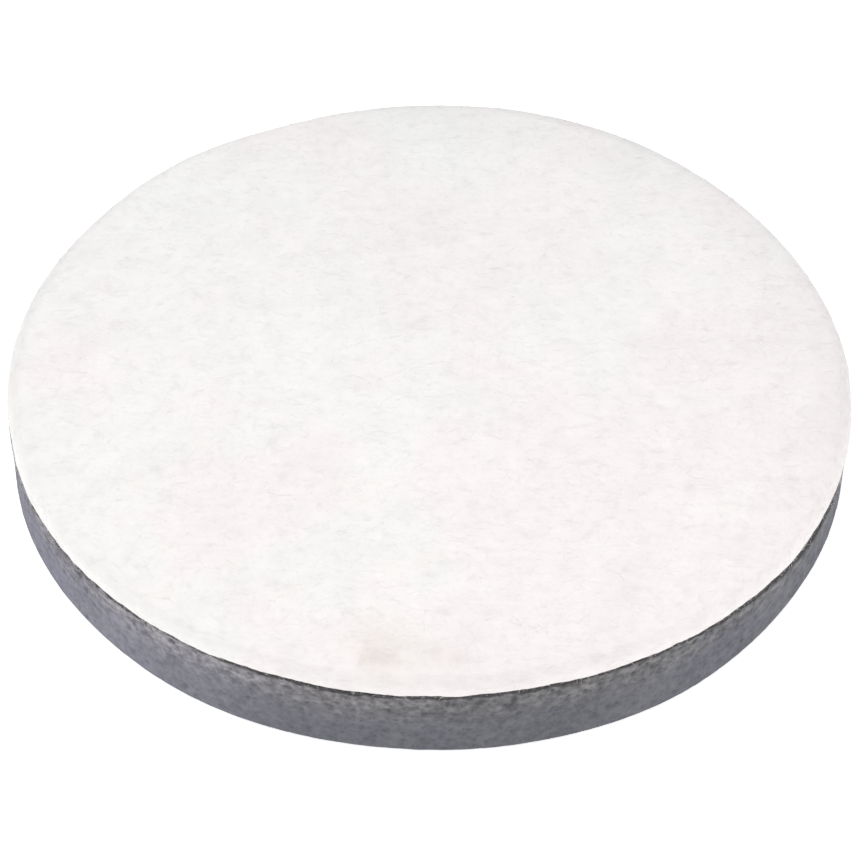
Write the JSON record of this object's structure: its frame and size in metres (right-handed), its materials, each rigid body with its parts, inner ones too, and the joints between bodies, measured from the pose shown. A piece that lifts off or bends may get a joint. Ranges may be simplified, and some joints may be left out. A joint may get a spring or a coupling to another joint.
{
  "type": "felt polishing wheel",
  "caption": "Spin-on polishing wheel: white pressed-felt face on a grey sponge-rubber cushion, with an aluminium backing plate and a blind threaded brass hub let into its back.",
  "frame": {"origin": "centre of the backing plate's back face, on the spin axis; the wheel lies on that face with the felt up", "axes": "+Z along the spin axis from the back face to the felt face; +X and +Y in the back face, with the hub screws at 45 degrees between them"},
  "size_m": [0.1524, 0.1524, 0.0173],
  "materials": {
    "felt": "pressed wool felt, matt and slightly fuzzy",
    "adhesive": "dark contact adhesive film, matt",
    "sponge_rubber": "grey closed-cell sponge rubber, cut wall with fine open cells",
    "plate_aluminium": "turned, satin",
    "hub_brass": "turned",
    "screw_steel": "stainless"
  },
  "bodies": {
    "root": {"felt_face": "felt", "felt_adhesive_film": "adhesive", "foam_cushion": "sponge_rubber", "cushion_adhesive_film": "adhesive", "backing_plate": "plate_aluminium", "arbor_hub": "hub_brass", "hub_screws": "screw_steel"}
  },
  "joints": []
}
